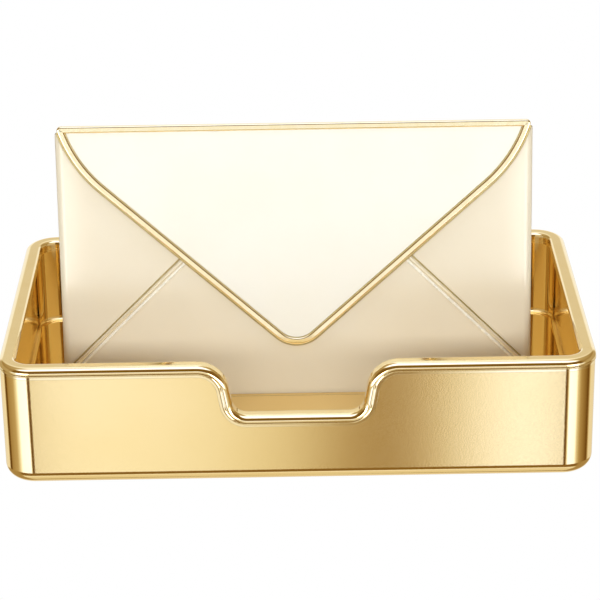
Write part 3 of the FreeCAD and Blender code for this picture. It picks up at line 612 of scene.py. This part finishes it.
seam_way = np.array([-1.0, SEAM_SLOPE]) / np.hypot(SEAM_SLOPE, 1.0)
square_to = np.array([SEAM_SLOPE, 1.0]) / np.hypot(SEAM_SLOPE, 1.0)
bead_section = rounded([(0, 0), (1, 0), (1, 1), (0, 1)], BEAD_ROUNDS, 8, 0.01)
run_length = (BEAD_TOP - BEAD_FOOT) / seam_way[1]
turn = np.linspace(0, np.pi / 2, BEAD_END_STEPS)
end_along = (1 - np.cos(turn)) * BEAD_WIDTH / 2
end_size = np.sin(turn)
run_along = np.concatenate([end_along, run_length - end_along[::-1]])
size = np.concatenate([end_size, end_size[::-1]])
seam_start = np.array([SEAM_HALF - (BEAD_FOOT - SEAM_FOOT) / SEAM_SLOPE, BEAD_FOOT])
middle = seam_start + square_to * BEAD_WIDTH / 2
off = (bead_section[:, :1] - 0.5) * size * BEAD_WIDTH
flat = middle + seam_way * run_along[None, :, None] + square_to * off[..., None]
back = BEAD_INNER + (BEAD_CROWN - BEAD_INNER) * (0.5 + (bead_section[:, 1:] - 0.5) * size)
for side_name, side in (("left", -1), ("right", 1)):
    grid = leaned(side * flat[..., 0], back, flat[..., 1])
    bead = surface(side_name + "_seam_wire", grid if side < 0 else grid[::-1], closed_rows=True)
    dress(bead, bead_gold)
    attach(bead, "envelope")
    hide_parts(side_name + "_seam_bead")

# ---------------------------------------------------------------- flap and its piping
# A stiff pointed leaf on a knuckled hinge, lacquered lighter than the panels and lined in
# pale gold. A bead of half-round wire, bent to the outline with rounded shoulders and tip,
# is soldered round it.

FLAP_HALF = 0.1186
FLAP_TOP = 0.1485
FLAP_SHOULDER = 0.1339
FLAP_TIP = 0.0289
FLAP_TIP_ROUND = 0.0152
FLAP_SIDE_SLANT = np.radians(20)
FLAP_SHOULDER_ROUND = 0.070
FLAP_CORNER_ROUND = 0.0020
PIPING_WIDTH = 0.0034
PIPING_BACK = -0.0055
PIPING_FRONT = -0.0081
PIPING_CROWN = 0.0008
PIPING_STEPS = 12
FLAP_BEND_STEPS = 24

flap_lacquer = lacquer("flap_lacquer", (0.95, 0.93, 0.82), (0.935, 0.905, 0.78), 0.30,
                       lining=(0.80, 0.68, 0.45))
dress(frame["nodes"]["top_flap"], flap_lacquer)

magnet_nickel, start, shader = material("magnet_nickel", {"Metallic": 1.0})
haze = noise(place_on(start), 1400.0, 2.0)
drive(shader, Base_Color=haze.between((0.66, 0.65, 0.62), (0.76, 0.75, 0.72)),
      Roughness=haze * 0.1 + 0.10)
dress(frame["nodes"]["flap_magnet"], magnet_nickel)

inset = PIPING_WIDTH / 2
slope = (FLAP_SHOULDER - FLAP_TIP) / FLAP_HALF
tip = FLAP_TIP + inset * np.hypot(1, slope)
half = FLAP_HALF - inset * np.tan(np.radians(45) + FLAP_SIDE_SLANT / 2)
top = FLAP_TOP - inset
slant = np.tan(FLAP_SIDE_SLANT)
shoulder = (tip + slope * (half - top * slant)) / (1 - slope * slant)
shoulder_half = half - (top - shoulder) * slant
flap_line = rounded([(-half, top), (-shoulder_half, shoulder), (0, tip),
                     (shoulder_half, shoulder), (half, top)],
                    [FLAP_CORNER_ROUND - inset, FLAP_SHOULDER_ROUND - inset, FLAP_TIP_ROUND - inset,
                     FLAP_SHOULDER_ROUND - inset, FLAP_CORNER_ROUND - inset],
                    FLAP_BEND_STEPS, BEND_LEAD)
flat_path = np.column_stack([flap_line, np.zeros(len(flap_line))])
_, aside, _ = ring_frame(flat_path)
piping_section = rounded([(inset, PIPING_BACK), (-inset, PIPING_BACK), (-inset, PIPING_FRONT),
                          (inset, PIPING_FRONT)],
                         [EDGE_EASE, EDGE_EASE, PIPING_CROWN, PIPING_CROWN], PIPING_STEPS,
                         0.00002)
spread = flap_line[None] + piping_section[:, 0][:, None, None] * aside[None, :, :2]
grid = leaned(spread[..., 0], piping_section[:, 1][:, None], spread[..., 1])
piping = surface("flap_wire", grid, closed_rows=True, closed_columns=True)
piping_gold = plated("piping_gold", 1.0, (0.96, 0.82, 0.50), (0.97, 0.85, 0.56), 0.08, 0.04, 160.0)
dress(piping, piping_gold)
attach(piping, "flap")
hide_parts("flap_piping")

# ---------------------------------------------------------------- shade lines and hem roll
# A low ridge of dark, dull gold runs beside each wire: painted shade, standing in for the dark
# reflection on the wire's steep flank and the shade in the corner beside it. It is thin along
# the flap's face and the hems, thicker along its pointed edge.
# Inside each seam wire the bottom leaf's hem is rolled up a little, in a paler, shinier cream
# than the panels' lacquer: a painted highlight along the roll.

SHADE_LINE_THIN = 0.0008
SHADE_LINE_THICK = 0.0016
RIDGE_RISE = 0.0004
SHADE_LINE_ASIDE = 0.0003               # from a wire's edge to the middle of its line
HEM_ROLL = 0.0014
HEM_ASIDE = 0.0010
HEM_RISE = 0.0002
FLAP_FACE = -0.0069
FLAP_EDGE = -0.0063
RIDGE_STEPS = 12
HEM_ROWS = 12
FLAP_CORNER_POINTS = 26             # points of flap_line at each top corner, where no solder runs

# dark, dull gold of the lines beside the wires: painted shade for the wires' dark flanks and the
# corners beside them
shade_line_gold = plated("shade_line_gold", 0.6, (0.50, 0.40, 0.17), (0.58, 0.47, 0.22), 0.35, 0.1, 240.0)
# paler, shinier cream of the hem rolls: a painted highlight beside each seam wire
hem_highlight_lacquer = plated("hem_highlight_lacquer", 0.15, (0.99, 0.96, 0.84), (0.98, 0.94, 0.81), 0.25, 0.05, 240.0)


def ridge(name, path, aside, offset, width, lay, body, finish):
    """A low half-round ridge: path + aside * (offset + width / 2 * cos(a)), and sin(a) high."""
    turn = np.linspace(0, 2 * np.pi, RIDGE_STEPS, endpoint=False)[:, None]
    off = offset + width / 2 * np.cos(turn)
    grid = leaned(path[:, 0] + off * aside[:, 0], lay - RIDGE_RISE * np.sin(turn),
                  path[:, 1] + off * aside[:, 1])
    line = surface(name, grid, closed_rows=True)
    dress(line, finish)
    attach(line, body)


point = slice(FLAP_CORNER_POINTS, len(flap_line) - FLAP_CORNER_POINTS)
# painted shade lines along both sides of the flap's wire
ridge("flap_inner_shade_line", flap_line[point], aside[point], -inset, SHADE_LINE_THIN, FLAP_FACE,
      "flap", shade_line_gold)
ridge("flap_outer_shade_line", flap_line[point], aside[point], inset + SHADE_LINE_ASIDE, SHADE_LINE_THICK,
      FLAP_EDGE, "flap", shade_line_gold)
for side_name, side in (("left", -1), ("right", 1)):
    hem = seam_start + square_to * BEAD_WIDTH
    hem = (hem + seam_way * np.linspace(0, run_length, HEM_ROWS)[:, None]) * (side, 1)
    across = np.tile(square_to * (side, 1), (HEM_ROWS, 1))
    # a painted shade line beside each seam wire
    ridge(side_name + "_hem_solder", hem, across, SHADE_LINE_ASIDE, SHADE_LINE_THIN, BEAD_INNER,
          "envelope", shade_line_gold)
    # the hem roll, whose paler cream is a painted highlight
    ridge(side_name + "_hem_roll", hem, across, -BEAD_WIDTH - HEM_ASIDE, HEM_ROLL,
          BOTTOM_FACE - HEM_RISE, "envelope", hem_highlight_lacquer)

# ---------------------------------------------------------------- floor
# A pale, matt floor that takes no part in what the metal mirrors.

FLOOR_REACH = 6.0

floor = bpy.data.meshes.new("floor")
floor.from_pydata([(x, y, 0) for x, y in ((-FLOOR_REACH, -FLOOR_REACH), (FLOOR_REACH, -FLOOR_REACH),
                                          (FLOOR_REACH, FLOOR_REACH), (-FLOOR_REACH, FLOOR_REACH))],
                  [], [(0, 1, 2, 3)])
floor = bpy.data.objects.new("floor", floor)
bpy.context.scene.collection.objects.link(floor)
pale, start, shader = material("pale_floor", {"Base Color": (0.80, 0.80, 0.80), "Roughness": 0.9})
glow = start.node("ShaderNodeEmission", None, {"Color": (1.0, 1.0, 1.0, 1.0), "Strength": 1.0})
seen = start.node("ShaderNodeLightPath", output=0)
mixed = start.node("ShaderNodeMixShader", None,
                   {0: seen, 1: Shade(start.tree, shader.outputs[0]), 2: glow})
pale.node_tree.links.new(mixed.socket, pale.node_tree.nodes["Material Output"].inputs["Surface"])
dress(floor, pale)
floor.visible_glossy = False

# ---------------------------------------------------------------- surroundings
# What the metal mirrors: pale upright screens with dark gaps low in front, a dark band above
# them, a pale ceiling, and plainer surroundings at the back. Brightness depends on direction
# only. Dim light is golden and the brightest is slightly warm.

STRIP_LEVEL = 5.0                   # of the two long lights beside the front
SIDE_SHARE = 0.5                    # how much darker it is to the left and the right
GREEN_DIM, GREEN_BRIGHT = 0.38, 0.3
BLUE_DIM, BLUE_BRIGHT = 1.25, 1.2
DIFFUSE_LEVEL = (0.35, 0.35, 0.35)  # neutral, for matt surfaces
BACKDROP = (1.0, 1.0, 1.0)          # for the camera

world = bpy.context.scene.world or bpy.data.worlds.new("studio")
bpy.context.scene.world = world
world.use_nodes = True
start = Shade(world.node_tree, None)
direction = start.node("ShaderNodeTexCoord", output=0)
east, north, height = (direction.node("ShaderNodeSeparateXYZ", None, {0: direction}, part)
                       for part in range(3))
azimuth = east.maths("ARCTAN2", north * -1)     # radians from the front's middle, + to its right
elevation = height.maths("ARCSINE")
off_front = azimuth.maths("ABSOLUTE")


def ramp(angle, whole, stops):
    """A level over an angle, from stops (degrees, level); whole is the angle's span in degrees."""
    return angle.node("ShaderNodeValToRGB",
                      {"stops": [(degrees / whole + 0.5, level) for degrees, level in stops]},
                      {0: angle * (180 / whole / np.pi) + 0.5})


def band(angle, rise, fall):
    """1 while an angle is between two soft edges, each given as (from, to) in degrees."""
    return angle.step(*np.radians(rise)) * (1 - angle.step(*np.radians(fall)))


def grey(colour):
    """The level of a neutral colour."""
    return colour.node("ShaderNodeSeparateColor", None, {0: colour}, 0)


low_front = ramp(azimuth, 360, [
    (-180, 0.75), (-118, 0.95), (-110, 0.12), (-104, 0.12), (-98, 0.40), (-70, 0.55), (-58, 1.0),
    (-50, 1.45), (-18, 1.52), (-14, 0.14), (-7.6, 0.14), (-7.3, 1.20), (-5, 1.13), (-2, 1.02),
    (0, 0.82), (2.2, 0.18), (3, 0.26), (5, 1.22), (6, 1.42), (7.5, 1.42), (7.9, 0.12), (13, 0.12),
    (17, 0.9), (21, 1.52), (46, 1.4), (54, 0.8), (66, 0.45), (94, 0.22), (102, 0.12), (116, 0.9),
    (180, 0.75)])
high_front = ramp(elevation, 180, [
    (-90, 0.80), (-62, 0.85), (-54, 1.08), (-48, 0.25), (-31, 0.25), (-28, 0.6), (-14, 0.68),
    (-11, 1.05), (-1, 1.05), (2, 0.20), (44, 0.22), (52, 1.5), (76, 1.5), (90, 1.35)])
behind = ramp(elevation, 180, [
    (-90, 0.80), (-20, 0.85), (-8, 1.02), (16, 1.02), (21, 0.76), (27, 0.78), (45, 0.95),
    (70, 1.2), (90, 1.3)])
sides = band(off_front, (65, 80), (140, 152))
level = grey(off_front.step(*np.radians((60, 85))).between(high_front, behind))
level = level * (1 - sides * SIDE_SHARE)
level = grey(band(elevation, (-31, -29), (-20, -17)).between(level, low_front))
dim = level.maths("MINIMUM", 1.0)
bright = level.maths("MAXIMUM", 1.0)
strip = band(off_front, (8, 10.5), (40, 55)) * band(elevation, (-14, -12), (0, 3)) * STRIP_LEVEL
green = level * dim.maths("POWER", GREEN_DIM) * bright.maths("POWER", GREEN_BRIGHT)
blue = level * dim.maths("POWER", BLUE_DIM) * bright.maths("POWER", BLUE_BRIGHT)
mirrored = start.node("ShaderNodeCombineColor", None,
                      {0: level + strip, 1: green + strip, 2: blue + strip})
diffuse_ray = start.node("ShaderNodeLightPath", output=2)
camera_ray = start.node("ShaderNodeLightPath", output=0)
light = camera_ray.between(diffuse_ray.between(mirrored, DIFFUSE_LEVEL), BACKDROP)
world.node_tree.links.new(light.socket, world.node_tree.nodes["Background"].inputs["Color"])

# ---------------------------------------------------------------- lamps
# Four soft banks light the lacquer: a low wide one in front, one to each side and one
# behind. The metal doesn't mirror them.

LIGHT_BANKS = [((0, -1.6, 0.60), 16.2, (2.2, 0.25)), ((-1.6, -0.5, 0.8), 6.5, (0.8, 1.0)),
               ((1.6, -0.5, 0.8), 6.5, (0.8, 1.0)), ((0, 1.6, 0.9), 17.0, (2.0, 0.8))]
LIGHT_AIM = Vector((0, 0, 0.06))

for place, power, (width, tall) in LIGHT_BANKS:
    lamp = bpy.data.lights.new("light_bank", "AREA")
    lamp.shape = "RECTANGLE"
    lamp.size = width
    lamp.size_y = tall
    lamp.energy = power
    bank = bpy.data.objects.new("light_bank", lamp)
    bank.location = place
    bank.rotation_euler = (LIGHT_AIM - bank.location).to_track_quat("-Z", "Y").to_euler()
    bank.visible_glossy = False
    bpy.context.scene.collection.objects.link(bank)

# ---------------------------------------------------------------- camera
# It stands far off with a long lens, looks a little down on the scoop and is rolled by less
# than a degree.

CAMERA_ELEVATION = np.radians(23.541)
CAMERA_YAW = np.radians(-0.181)
CAMERA_ROLL = np.radians(0.867)
CAMERA_DISTANCE = 1.252963
CAMERA_ASIDE = 0.001863
CAMERA_RAISE = 0.055637
CAMERA_LENS = 143.96
CAMERA_SENSOR = 36

towards = Vector((np.sin(CAMERA_YAW) * np.cos(CAMERA_ELEVATION),
                  -np.cos(CAMERA_YAW) * np.cos(CAMERA_ELEVATION), np.sin(CAMERA_ELEVATION)))
sideways = Vector((np.cos(CAMERA_YAW), np.sin(CAMERA_YAW), 0))
raised = towards.cross(sideways)
camera = bpy.data.objects.new("camera", bpy.data.cameras.new("camera"))
camera.data.lens = CAMERA_LENS
camera.data.sensor_width = CAMERA_SENSOR
level_x = sideways * np.cos(CAMERA_ROLL) - raised * np.sin(CAMERA_ROLL)
level_y = sideways * np.sin(CAMERA_ROLL) + raised * np.cos(CAMERA_ROLL)
turned = Matrix((level_x, level_y, towards)).transposed().to_4x4()
turned.translation = (towards * CAMERA_DISTANCE + sideways * CAMERA_ASIDE
                      + raised * CAMERA_RAISE)
camera.matrix_world = turned
bpy.context.scene.collection.objects.link(camera)
bpy.context.scene.camera = camera

bpy.context.scene.view_settings.view_transform = "Standard"
